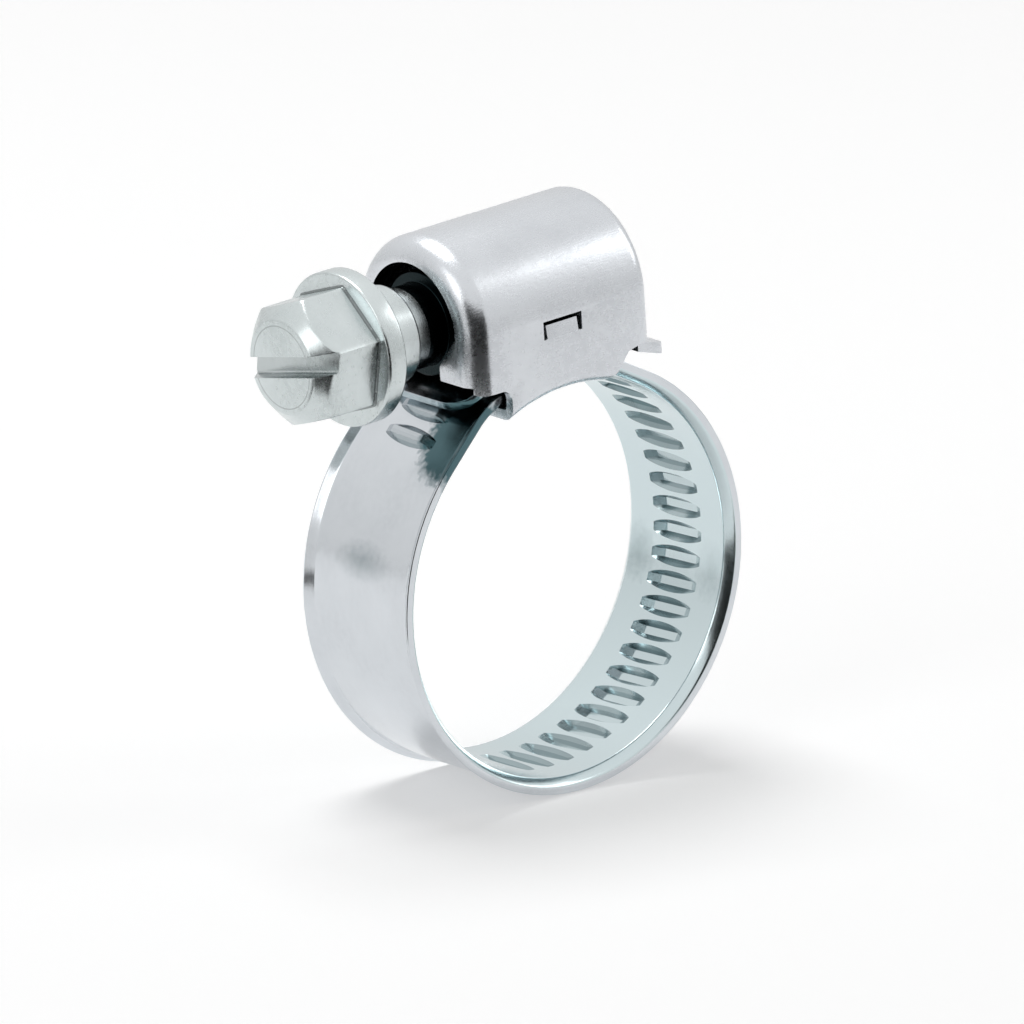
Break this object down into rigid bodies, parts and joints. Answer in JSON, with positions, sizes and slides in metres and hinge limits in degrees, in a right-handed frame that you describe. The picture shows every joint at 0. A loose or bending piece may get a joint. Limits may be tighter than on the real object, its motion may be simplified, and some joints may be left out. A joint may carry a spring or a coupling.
{
  "type": "hose clip",
  "caption": "Worm drive hose clip: an embossed steel band ring drawn in by a slotted hexagon-head screw in a folded housing, shown fully open.",
  "frame": {"origin": "centre of the hose bore, midway across the band", "axes": "+X along the screw from its head to its rear end, +Y along the hose's axis, +Z from the hose towards the screw"},
  "size_m": [0.0289, 0.0104, 0.0332],
  "materials": {
    "band": "bright zinc plate, smooth, with sharp reflections",
    "housing": "satin zinc plate, finely mottled",
    "screw": "bright zinc plate with a faint green cast"
  },
  "bodies": {
    "clip": {"band": "band", "housing": "housing"},
    "screw": {"screw": "screw"}
  },
  "joints": [
    {"name": "screw_turn", "type": "hinge", "parent": "clip", "child": "screw", "pos_m": [0, 0, 0.01575], "axis": [1, 0, 0], "continuous": true, "deforming": ["band"]}
  ]
}
